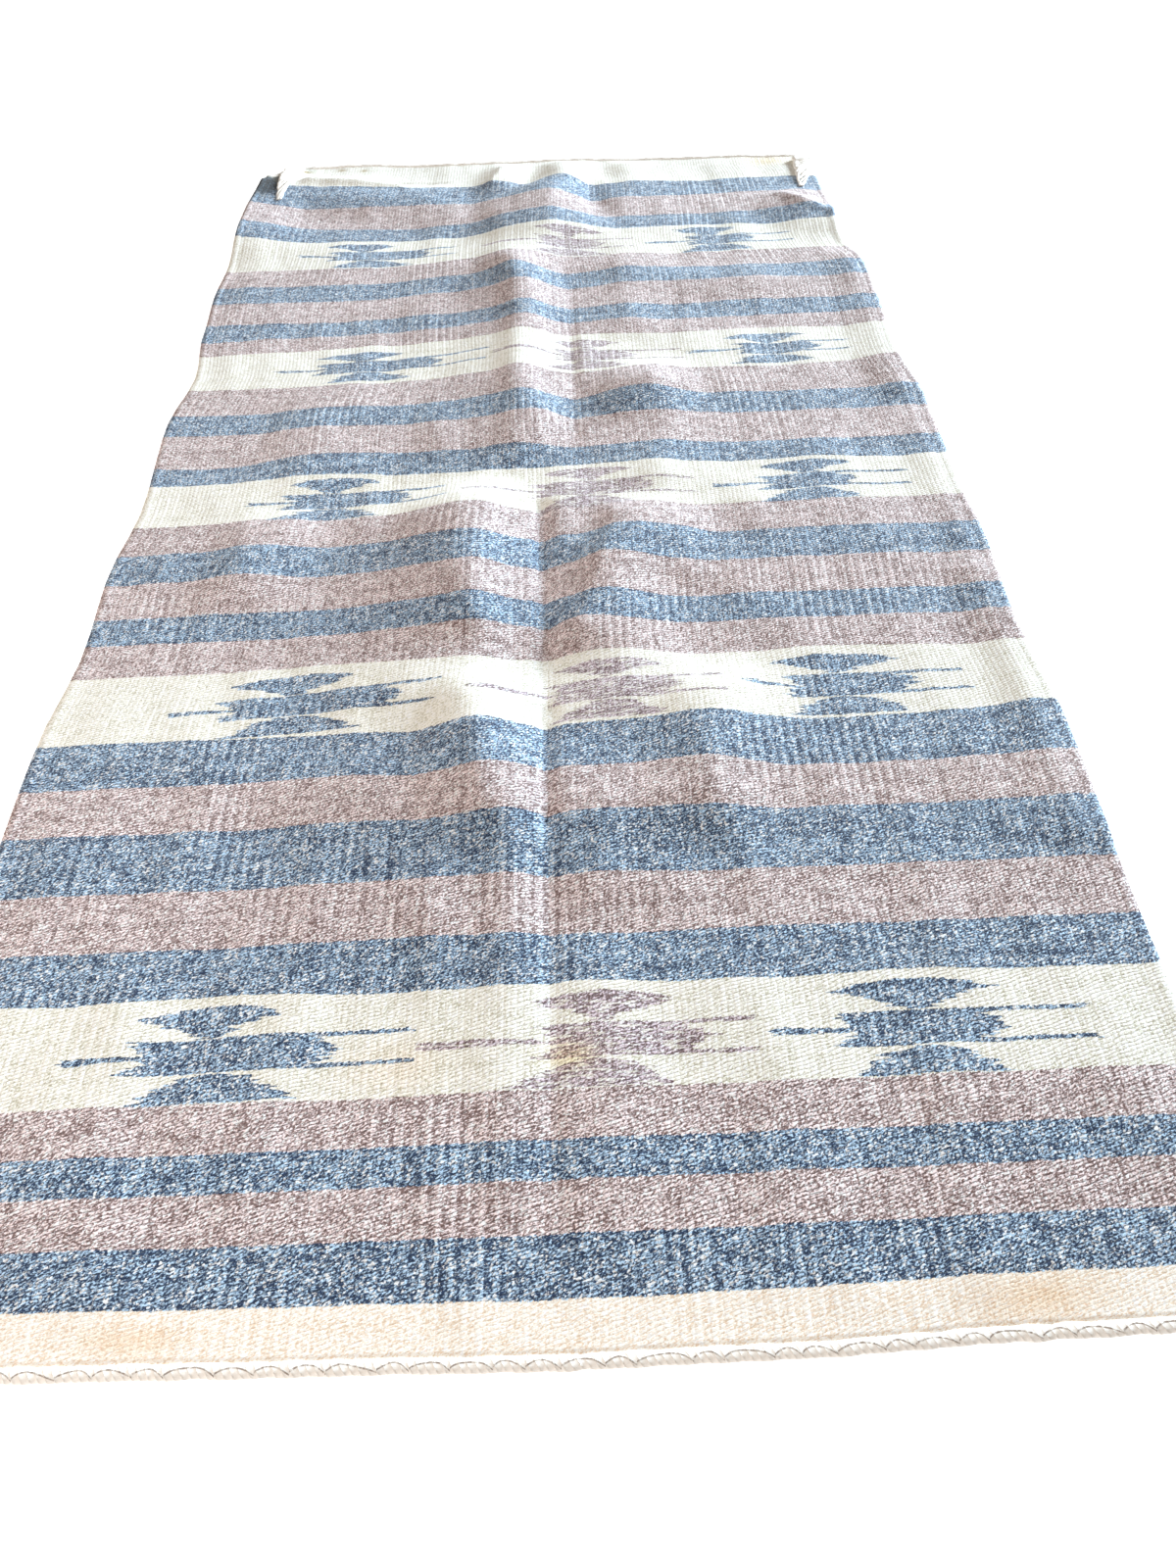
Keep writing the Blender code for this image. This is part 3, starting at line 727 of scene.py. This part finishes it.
def make_cloth_finish():
    finish = Finish("banded cotton weave", roughness=0.92, sheen_weight=0.10, sheen_roughness=0.6)
    place = finish.node("ShaderNodeUVMap", {"uv_map": WEAVE_MAP}, {})
    across, along, _ = finish.parts(place)
    rib = (across / RIB_PITCH).math("FLOOR")
    odd = rib.math("FLOORED_MODULO", 2.0)
    in_rib = across / RIB_PITCH - rib - 0.5
    sway = finish.cloud(finish.vector(across * 70, along * 110, 7.0), detail=1.0) * PICK_SWAY
    pick = along / BEAD_PITCH + odd * 0.5 + in_rib * BEAD_SLANT + sway
    bead = pick.math("FLOOR")
    in_bead = pick - bead - 0.5
    chances = finish.node("ShaderNodeTexWhiteNoise", {"noise_dimensions": "2D"},
                          {"Vector": finish.vector(rib, bead)}, output=1)
    chance, chance_along, _ = finish.parts(chances)
    grain = finish.cloud(finish.vector(across * 640, along * 850 - across * 270), detail=1.0, roughness=0.6)
    streaks = finish.cloud(finish.vector(across * 45, along * 420, 1.0), detail=1.0)
    frayed_across = (rib + 0.5) * RIB_PITCH * 0.5 + across * 0.5 + (streaks - 0.5) * FRAY_ACROSS
    jitter = (chance_along - 0.5) * EDGE_JITTER * BEAD_PITCH
    frayed_along = along + jitter + (grain - 0.5) * FRAY_ALONG
    motif, motif_is_blue = motif_mask(finish, frayed_across, frayed_along)
    missed = finish.cloud(finish.vector(across * 75, along * 560, 2.0), detail=1.0).ramp(0.56, 0.60)
    motif = motif * (1 - missed * (1 - motif_is_blue) * 0.75)
    blue = (band_mask(frayed_along, "blue") + motif * motif_is_blue).kept()
    mauve = (band_mask(frayed_along, "mauve") + motif * (1 - motif_is_blue)).kept()
    natural = band_mask(frayed_along, "natural")

    fibre_place = finish.vector(across * 520, along * 1100 - across * 300)
    fibres = finish.cloud(fibre_place, detail=1.0, roughness=0.6)
    twist = (in_rib * 1.2 - in_bead * 0.7 + chance * 5).math("FRACT")
    light_ply = 1 - abs(twist * 2 - 1)
    lots = finish.cloud(finish.vector(across * 7, along * 170, 9.0), detail=1.0)
    rib_streaks = finish.cloud(finish.vector(rib * 0.45, along * 14, 4.0), detail=0.0)
    mottle = finish.cloud(finish.vector(across * 110, along * 95, 5.0), detail=1.0)
    cell_place = finish.vector(across * 720, along * 920 - across * 260)
    cells = finish.node("ShaderNodeTexVoronoi", {"voronoi_dimensions": "2D"},
                        {"Vector": cell_place, "Scale": 1.0}, output=1)
    cell, fleck, _ = finish.parts(cells)
    loose = finish.cloud(finish.vector(across * 12, along * 7, 8.0), detail=1.0)
    loose = loose.ramp(0.48, 0.68) * 0.8 + 0.2
    rib_wave = (across * (math.pi / RIB_PITCH)).math("SINE") * loose
    heather = (grain - 0.5) * 2.8 + (cell - 0.5) * 0.70 + (mottle - 0.5) * 0.6 + 0.5
    heather = heather + (light_ply - 0.5) * 0.30 + (lots - 0.5) * 0.40 + (rib_streaks - 0.5) * 0.25
    # Painted shade: the rib relief's crests are painted lighter and its hollows darker, here and, more
    # faintly, in the white flecks below
    heather = heather + rib_wave * 0.15
    colours = {}
    for name, yarn in YARNS.items():
        light = (heather + (yarn.share - 0.5)).ramp(0.10, 0.90)
        colours[name] = finish.mix(light, yarn.dark, yarn.light)
    colour = finish.mix(natural, colours["cream"], colours["natural"])
    colour = finish.mix(mauve, colour, colours["mauve"])
    colour = finish.multiply(motif * (1 - motif_is_blue), colour, MOTIF_TINT)
    colour = finish.mix(blue, colour, colours["blue"])
    dots = (fleck + (mottle - 0.5) * 0.4 + rib_wave * 0.10).ramp(0.86, 0.92)
    hair_place = finish.vector(across * 900 + grain * 6, along * 260, 6.0)
    hairs = finish.cloud(hair_place, detail=1.0).ramp(0.64, 0.68)
    colour = finish.mix((dots * 0.80 + hairs * 0.7).kept(), colour, FLECK_COLOUR)
    specks = finish.cloud(finish.vector(across * 380, along * 1300 - across * 400, 3.0), detail=1.0)
    colour = finish.mix(specks.ramp(0.58, 0.64) * natural * 0.75, colour, SPECK_COLOUR)

    round_rib = 1 - (in_rib * 2) ** 2
    round_bead = 1 - (in_bead * 2) ** 2
    roundness = (round_rib * 0.6 + 0.4) * round_bead.kept() ** 0.6
    between_beads = (abs(in_bead) * 2 + (grain - 0.5) * 0.8).ramp(0.58, 0.92)
    gap = between_beads * (fibres * 0.6 + chance * 0.2).ramp(0.54, 0.40)
    gap_share = (blue + mauve).kept() * 0.50 + (1 - natural) * 0.18 + 0.04
    shade = finish.mix(gap * gap_share, (1, 1, 1, 1), SHADOW_COLOUR)
    colour = finish.multiply(1.0, colour, shade)
    # Stains and painted shade tint the colour, patch by patch
    for stain_and_shade in STAINS_AND_SHADE:
        off_x = (across - stain_and_shade.x) / stain_and_shade.reach_across
        off_y = (along - stain_and_shade.y) / stain_and_shade.reach_along
        cover = (off_x * off_x * -1 - off_y * off_y).math("EXPONENT") * stain_and_shade.cover
        colour = finish.multiply((cover * (0.6 + fibres)).kept(), colour, stain_and_shade.tint)
    finish.feed(finish.shader.inputs["Base Color"], colour)

    height = roundness * BEAD_RELIEF_MM * (1 - natural * 0.5) + grain * FIBRE_RELIEF_MM
    height = height + rib_wave * RIB_RELIEF_MM
    bump = finish.node("ShaderNodeBump", {}, {"Strength": 1.0, "Distance": 0.001, "Height": height})
    finish.feed(finish.shader.inputs["Normal"], bump)
    return finish.material


cloth_mesh = make_cloth_mesh()
cloth_mesh.materials.append(make_cloth_finish())
cloth_mesh.shade_smooth()
cloth = bpy.data.objects.new("woven_cloth", cloth_mesh)
scene.collection.objects.link(cloth)
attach(cloth, "root")
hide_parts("cloth")

cloth_tree = BVHTree.FromPolygons([vertex.co for vertex in cloth_mesh.vertices],
                                  [face.vertices for face in cloth_mesh.polygons])

# The twined edges: at each end the warp's spare ends are knotted in a flat chain that lies
# against the last picks of the heading and locks them.
KNOT_PITCH = 0.0195
CHAIN_OUT = 0.0030
CHAIN_HALF = 0.0042
CHAIN_FLATNESS = 0.46
CHAIN_WAIST = 0.90
CHAIN_CLEARANCE = 0.0002
PLY_SIDES = 12
ROPE_STEP = 0.0012
ROPE_SWAY = 0.0007
ROPE_TAPER = 0.012
FAR_TUCK = 0.0014


def ring_body(rings):
    """Points and faces of a closed tube through rings of points."""
    sides = len(rings[0])
    points = [tuple(point) for ring in rings for point in ring]
    faces = []
    for row in range(len(rings) - 1):
        for side in range(sides):
            here = row * sides + side
            beside = row * sides + (side + 1) % sides
            faces.append((here, beside, beside + sides, here + sides))
    faces.append(tuple(reversed(range(sides))))
    last = (len(rings) - 1) * sides
    faces.append(tuple(range(last, last + sides)))
    return points, faces


def sweep(middles, half_widths, sides, flatness=1.0, floor=0.0):
    """Rings of points round a line of places."""
    rings = []
    for index, middle in enumerate(middles):
        before = middles[max(index - 1, 0)]
        after = middles[min(index + 1, len(middles) - 1)]
        forward = (after - before).normalized()
        beside = forward.cross(Vector((0, 0, 1))).normalized()
        up = beside.cross(forward)
        ring = []
        for side in range(sides):
            angle = 2 * math.pi * side / sides
            spoke = beside * math.cos(angle) + up * math.sin(angle) * flatness
            point = middle + spoke * half_widths[index]
            point.z = max(point.z, floor)
            ring.append(point)
        rings.append(ring)
    return rings


YARN_MAP = "yarn"


def join_tubes(name, tubes, step):
    """One mesh of several closed tubes, with a map of the distance along and round each."""
    points, faces, map_places = [], [], []
    for rings in tubes:
        first = len(points)
        tube_points, tube_faces = ring_body(rings)
        sides = len(rings[0])
        points.extend(tube_points)
        for face in tube_faces:
            faces.append(tuple(first + corner for corner in face))
            wraps = len(face) == 4 and face[1] % sides == 0
            for corner in face:
                row, side = divmod(corner, sides)
                around = sides if wraps and side == 0 else side
                map_places.extend((row * step, around / sides))
    mesh = bpy.data.meshes.new(name)
    mesh.from_pydata(points, [], faces)
    yarn_map = mesh.uv_layers.new(name=YARN_MAP)
    yarn_map.data.foreach_set("uv", np.array(map_places, dtype=np.float32))
    mesh.shade_smooth()
    return mesh


def make_rope(name, end):
    """The chain of knots against one end of the cloth, end -1 near and 1 far."""
    rim = [vertex.co for vertex in cloth_mesh.vertices][:(ROWS + 1) * (COLUMNS + 1)]
    rim = rim[:COLUMNS + 1] if end < 0 else rim[-COLUMNS - 1:]
    rim_x = [point.x for point in rim]
    tuck = FAR_TUCK * (end > 0)
    steps = int((rim_x[-1] - rim_x[0]) / ROPE_STEP)
    middles, half_widths = [], []
    for step in range(steps + 1):
        x = rim_x[0] + (rim_x[-1] - rim_x[0]) * step / steps
        knot = abs(math.sin(math.pi * (x - rim_x[0]) / KNOT_PITCH)) ** 0.6
        sway = ROPE_SWAY * noise.noise(Vector((x * 60, 0, end * 3)))
        y = np.interp(x, rim_x, [point.y for point in rim]) + end * (CHAIN_OUT - tuck + sway)
        size = 0.5 + 0.5 * smooth_share(min(x - rim_x[0], rim_x[-1] - x) / ROPE_TAPER)
        size *= 1 + 0.14 * noise.noise(Vector((x * 90, 5, end)))
        half = CHAIN_HALF * size * (CHAIN_WAIST + (1 - CHAIN_WAIST) * knot)
        z = np.interp(x, rim_x, [point.z for point in rim]) - CLOTH_THICKNESS
        middles.append(Vector((x, y, z + half * CHAIN_FLATNESS)))
        half_widths.append(half)
    tubes = [sweep(middles, half_widths, PLY_SIDES, CHAIN_FLATNESS, CHAIN_CLEARANCE)]
    return join_tubes(name, tubes, ROPE_STEP)


# Painted shadow: a dark line along each knot where it meets the next, standing in for the shade in that
# gap; where it lies round the chain, how it rises and falls over each knot, and its half width
KNOT_SHADOW_AT = 0.19
KNOT_SHADOW_RISE = 0.15
KNOT_SHADOW_FALL = 0.07
KNOT_SHADOW_HALF = 0.030


def make_cream_finish(name, knot_shadow_share):
    """Cream yarn, with a dark line of painted shadow where each knot meets the next if it is knotted."""
    finish = Finish(name, roughness=0.90, sheen_weight=0.12, sheen_roughness=0.6)
    place = finish.node("ShaderNodeUVMap", {"uv_map": YARN_MAP}, {})
    distance, around, _ = finish.parts(place)
    strand = (distance / 0.0042 + around * 3).math("FRACT")
    round_strand = (1 - (strand * 2 - 1) ** 2).kept() ** 0.5
    spots = finish.node("ShaderNodeTexCoord", {}, {}, output=3)
    spots = finish.node("ShaderNodeVectorMath", {"operation": "SCALE"}, {0: spots, "Scale": 700.0})
    fibres = finish.cloud(spots, detail=3.0)
    # Painted shade: each strand is painted paler along its crown and darker towards the grooves beside it
    light = (fibres * 0.9 + round_strand * 0.25 - 0.10).ramp(0.1, 0.7)
    slack = finish.cloud(finish.vector(distance * 45, 0.5, 0.0), detail=0.0) * 0.9
    turn = (distance / KNOT_PITCH + slack).math("FRACT")
    knot = turn * (1 - turn) * 4
    # Painted shadow: a dark line between each knot and the next
    off_line = around - KNOT_SHADOW_AT - knot * KNOT_SHADOW_RISE + turn * KNOT_SHADOW_FALL
    knot_shadow = 1 - (abs(off_line) / KNOT_SHADOW_HALF).kept()
    knot_shadow = (knot_shadow * (fibres - 0.25) * 3.4 * knot_shadow_share).kept()
    colour = finish.mix(light, (0.92, 0.87, 0.80, 1), (1.0, 0.985, 0.96, 1))
    finish.feed(finish.shader.inputs["Base Color"], finish.mix(knot_shadow, colour, (0.30, 0.23, 0.19, 1)))
    height = round_strand + fibres * 0.6 - knot_shadow
    bump = finish.node("ShaderNodeBump", {}, {"Strength": 1.0, "Distance": 0.0003, "Height": height})
    finish.feed(finish.shader.inputs["Normal"], bump)
    return finish.material


knots_with_painted_shadow = make_cream_finish("cream cotton knots with painted shadow", 1.0)
cream_finish = make_cream_finish("cream cotton yarn", 0.0)
for rope_name, end_side in (("end_braid_near", -1), ("end_braid_far", 1)):
    rope_mesh = make_rope("twined_" + rope_name, end_side)
    rope_mesh.materials.append(knots_with_painted_shadow)
    rope = bpy.data.objects.new("twined_" + rope_name, rope_mesh)
    scene.collection.objects.link(rope)
    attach(rope, "root")
    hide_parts(rope_name)

# The corner tails: the warp's last ends, loosely twisted together and lying back over the
# cloth, thinner towards their tips.
Tail = namedtuple("Tail", "node root_x root_y tip_x tip_y")
TAILS = [
    Tail("corner_tail_far_left", -0.338, 0.796, -0.342, 0.648),
    Tail("corner_tail_far_right", 0.362, 0.762, 0.344, 0.656),
]
TAIL_PLIES = 5
TAIL_TURN = 0.070
TAIL_PLY_OFF = 0.0064
TAIL_PLY_HALF = 0.0034
TAIL_STEP = 0.0016
TAIL_ROOT_SHARE = 0.16
TAIL_ROOT_SIZE = 0.4
TAIL_SIZE = 1.30
TAIL_THINNING = 1.02
TAIL_THINNING_POWER = 1.3
TAIL_UNEVENNESS = 0.12
TAIL_SEAT = 0.7
TAIL_RISE = 0.16
TAIL_SPREAD = 1.4
TAIL_OFF_CLOTH = 0.003
TAIL_FLATNESS = 0.65


def make_tail(tail):
    """Plies twisted about a line that lies over the edge and back on the cloth."""
    root = Vector((tail.root_x, tail.root_y, 0))
    run = Vector((tail.tip_x, tail.tip_y, 0)) - root
    steps = int(run.length / TAIL_STEP)
    carried = []
    for step in range(steps + 1):
        place = root + run * (step / steps)
        hit = cloth_tree.ray_cast(place + Vector((0, 0, 1)), Vector((0, 0, -1)))[0]
        carried.append(TAIL_OFF_CLOTH if hit is None else hit.z)
    carried = np.maximum(carried, np.convolve(np.pad(carried, 4, mode="edge"), np.ones(9) / 9, "valid"))
    beside = Vector((-run.y, run.x, 0)).normalized()
    tubes = []
    for ply in range(TAIL_PLIES):
        middles, half_widths = [], []
        for step in range(steps + 1):
            share = step / steps
            turn = 2 * math.pi * (run.length * share / TAIL_TURN + ply / TAIL_PLIES)
            turn += noise.noise(Vector((share * 5, ply * 3, tail.root_x * 10)))
            size = TAIL_SIZE - TAIL_THINNING * share ** TAIL_THINNING_POWER
            size *= 1 + TAIL_UNEVENNESS * noise.noise(Vector((share * 16, ply, 2)))
            size *= TAIL_ROOT_SIZE + (1 - TAIL_ROOT_SIZE) * smooth_share(share / TAIL_ROOT_SHARE)
            off = TAIL_PLY_OFF * size
            height = carried[step] + TAIL_PLY_HALF * size * TAIL_SEAT
            height += off * TAIL_RISE * (1 + math.sin(turn))
            aside = beside * off * TAIL_SPREAD * math.cos(turn)
            middles.append(root + run * share + aside + Vector((0, 0, height)))
            half_widths.append(TAIL_PLY_HALF * size)
        tubes.append(sweep(middles, half_widths, PLY_SIDES, TAIL_FLATNESS))
    return join_tubes("twisted_" + tail.node, tubes, TAIL_STEP)


for tail in TAILS:
    tail_mesh = make_tail(tail)
    tail_mesh.materials.append(cream_finish)
    tail_piece = bpy.data.objects.new("twisted_" + tail.node, tail_mesh)
    scene.collection.objects.link(tail_piece)
    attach(tail_piece, "root")
    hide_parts(tail.node)
